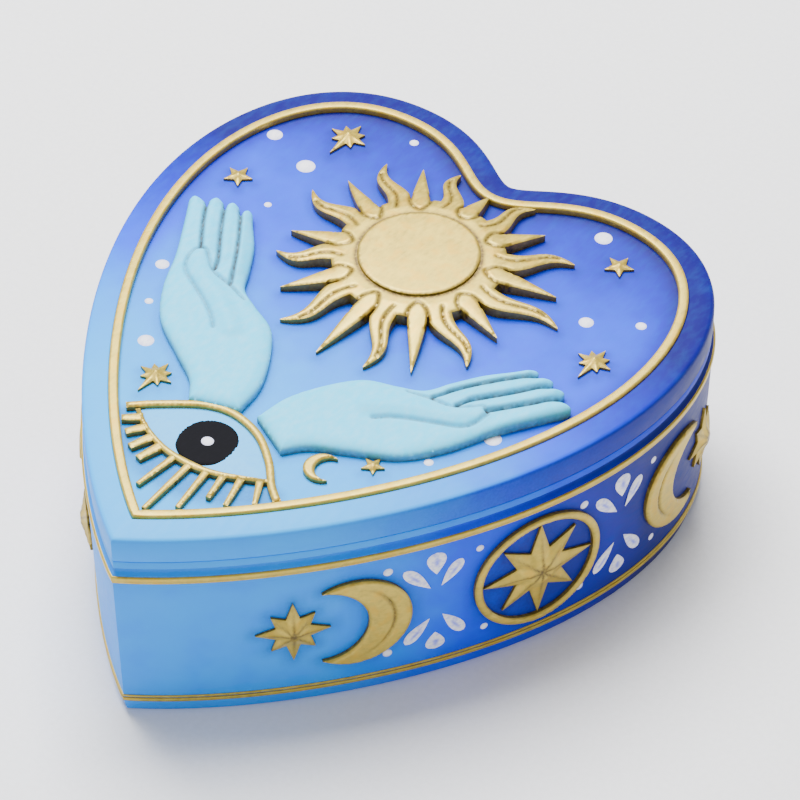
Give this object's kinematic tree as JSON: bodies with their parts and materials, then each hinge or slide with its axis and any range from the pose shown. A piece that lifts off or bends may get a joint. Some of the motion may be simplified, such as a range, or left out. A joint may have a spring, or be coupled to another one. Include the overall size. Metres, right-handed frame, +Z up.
{
  "type": "music box",
  "caption": "Heart-shaped keepsake music box with a lift-off lid, celestial relief, felt-lined tray, pinned-cylinder movement and a winding key underneath.",
  "frame": {"origin": "centre of the footprint on the surface that the plinth stands on", "axes": "+Z up through the lid, -Y towards the point of the heart, +X to the right seen from the point"},
  "size_m": [0.1534, 0.172, 0.0648],
  "materials": {
    "blue_resin": "hand painted satin",
    "gilt_paint": "gold paint with a brown wash",
    "pale_blue_paint": "hand painted satin",
    "black_paint": "painted",
    "blue_felt": "flocked felt",
    "zinc_casting": "die cast",
    "steel": "turned",
    "spring_steel": "rolled",
    "comb_steel": "ground",
    "brass": "turned",
    "clear_cover": "moulded clear",
    "pad_felt": "felt"
  },
  "bodies": {
    "case": {"box_body": "blue_resin", "tray_lining": "blue_felt", "base_bead": "gilt_paint", "upper_bead": "gilt_paint", "right_front_star": "gilt_paint", "right_front_moon": "gilt_paint", "right_back_star": "gilt_paint", "right_back_moon": "gilt_paint", "left_front_star": "gilt_paint", "left_front_moon": "gilt_paint", "left_back_star": "gilt_paint", "left_back_moon": "gilt_paint", "right_ring_star": "gilt_paint", "left_ring_star": "gilt_paint", "bedplate": "zinc_casting", "spring_housing": "zinc_casting", "mainspring": "spring_steel", "governor_frame": "zinc_casting", "tuned_comb": "comb_steel", "movement_cover": "clear_cover", "plunger_spring": "spring_steel", "bed_screw_1": "steel", "bed_screw_2": "steel", "bed_screw_3": "steel", "comb_screw_1": "steel", "comb_screw_2": "steel", "cover_screw_1": "steel", "cover_screw_2": "steel"},
    "lid_assembly": {"lid": "blue_resin", "lid_bead": "gilt_paint", "sun_rays": "gilt_paint", "sun_disc": "gilt_paint", "left_hand": "pale_blue_paint", "right_hand": "pale_blue_paint", "eye_frame": "gilt_paint", "eye_ball": "pale_blue_paint", "eye_pupil": "black_paint", "eye_lashes": "gilt_paint", "sky_star_1": "gilt_paint", "sky_star_2": "gilt_paint", "sky_star_3": "gilt_paint", "sky_star_4": "gilt_paint", "sky_star_5": "gilt_paint", "sky_star_6": "gilt_paint", "sky_moon": "gilt_paint"},
    "plunger": {"stop_plunger": "steel", "plunger_pad": "pad_felt", "plunger_cap": "brass"},
    "key": {"winding_arbor": "steel", "winding_key": "brass"},
    "crown": {"crown_gear": "brass"},
    "cylinder": {"tune_cylinder": "brass", "cylinder_arbor": "steel", "cylinder_pinion": "brass", "great_wheel": "brass"},
    "governor": {"governor_arbor": "steel", "governor_pinion": "steel", "worm_wheel": "brass"},
    "brake": {"worm": "steel", "air_brake": "brass"}
  },
  "joints": [
    {"name": "lid_lift", "type": "slide", "parent": "case", "child": "lid_assembly", "axis": [0, 0, 1], "range_m": [0, 0.07]},
    {"name": "plunger_rise", "type": "slide", "parent": "case", "child": "plunger", "axis": [0, 0, 1], "range_m": [0, 0.001]},
    {"name": "key_turn", "type": "hinge", "parent": "case", "child": "key", "pos_m": [-0.0162, 0.038, 0.01], "axis": [0, 0, 1], "continuous": true},
    {"name": "brake_spin", "type": "hinge", "parent": "case", "child": "brake", "pos_m": [0.0235, 0.05156, 0.03], "axis": [0, 0, 1], "continuous": true},
    {"name": "governor_turn", "type": "hinge", "parent": "case", "child": "governor", "pos_m": [0.0222, 0.04531, 0.02711], "axis": [1, 0, 0], "continuous": true},
    {"name": "cylinder_turn", "type": "hinge", "parent": "case", "child": "cylinder", "pos_m": [0, 0.038, 0.03236], "axis": [1, 0, 0], "continuous": true},
    {"name": "crown_turn", "type": "hinge", "parent": "case", "child": "crown", "pos_m": [-0.0162, 0.038, 0.028], "axis": [0, 0, 1], "continuous": true}
  ],
  "couplings": [
    {"joint": "plunger_rise", "follows": "lid_lift", "ratio": 0.014286},
    {"joint": "governor_turn", "follows": "brake_spin", "ratio": -0.041667},
    {"joint": "cylinder_turn", "follows": "brake_spin", "ratio": 0.010417},
    {"joint": "crown_turn", "follows": "brake_spin", "ratio": 0.0039062}
  ]
}
